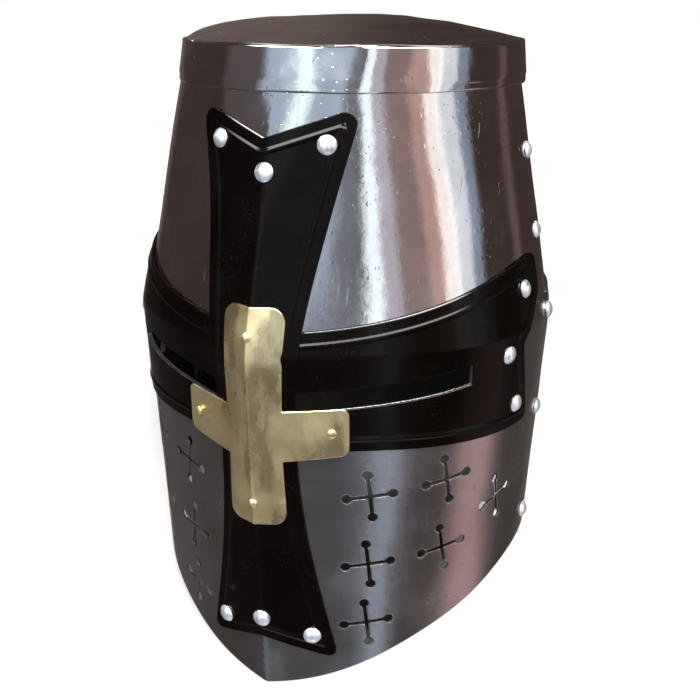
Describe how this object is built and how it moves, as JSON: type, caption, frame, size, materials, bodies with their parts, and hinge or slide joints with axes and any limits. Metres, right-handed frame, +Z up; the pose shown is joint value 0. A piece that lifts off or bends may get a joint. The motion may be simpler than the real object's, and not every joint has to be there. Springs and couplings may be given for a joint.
{
  "type": "great helm",
  "caption": "Flat topped knight's great helm with a creased pointed face, black sight band and upright bar, brass cross, breaths, leather liner and chin strap.",
  "frame": {"origin": "crown of the wearer's head, on the middle plane, under the liner's tabs", "axes": "+Z up, -Y toward the face, +X toward the side seen on the right from the front"},
  "size_m": [0.2114, 0.2389, 0.3122],
  "materials": {
    "polished_steel": "polished sheet steel with fine scratches and streaks",
    "satin_steel": "satin sheet steel, finely brushed",
    "black_lacquer": "gloss black lacquer on sheet steel",
    "brass": "polished brass sheet",
    "bright_rivet": "bright domed rivets",
    "leather": "brown vegetable tanned leather",
    "cord": "waxed lace",
    "buckle_steel": "nickel plated"
  },
  "bodies": {
    "helm_shell": {"crown_cap": "polished_steel", "upper_front_plate": "polished_steel", "upper_back_plate": "polished_steel", "face_plate": "satin_steel", "neck_plate": "satin_steel", "eye_band": "black_lacquer", "upright_bar": "black_lacquer", "brass_cross": "brass", "cross_rivets": "brass", "head_band": "leather", "crown_tabs": "leather", "tab_lace": "cord", "bar_top_rivets": "bright_rivet", "bar_bottom_rivets": "bright_rivet", "band_rivets_right": "bright_rivet", "band_rivets_left": "bright_rivet", "upper_seam_rivets_right": "bright_rivet", "upper_seam_rivets_left": "bright_rivet", "lower_seam_rivets_right": "bright_rivet", "lower_seam_rivets_left": "bright_rivet", "strap_rivet_right": "bright_rivet", "strap_rivet_left": "bright_rivet", "back_waist_rivets": "bright_rivet", "liner_rivets": "bright_rivet"},
    "chin_strap": {"chin_strap_long": "leather", "chin_strap_short": "leather", "buckle_frame": "buckle_steel", "buckle_prong": "buckle_steel"}
  },
  "joints": [
    {"name": "chin_strap_swing", "type": "hinge", "parent": "helm_shell", "child": "chin_strap", "pos_m": [0, 0.00392, -0.137], "axis": [1, 0, 0], "range_deg": [-35, 35]}
  ]
}
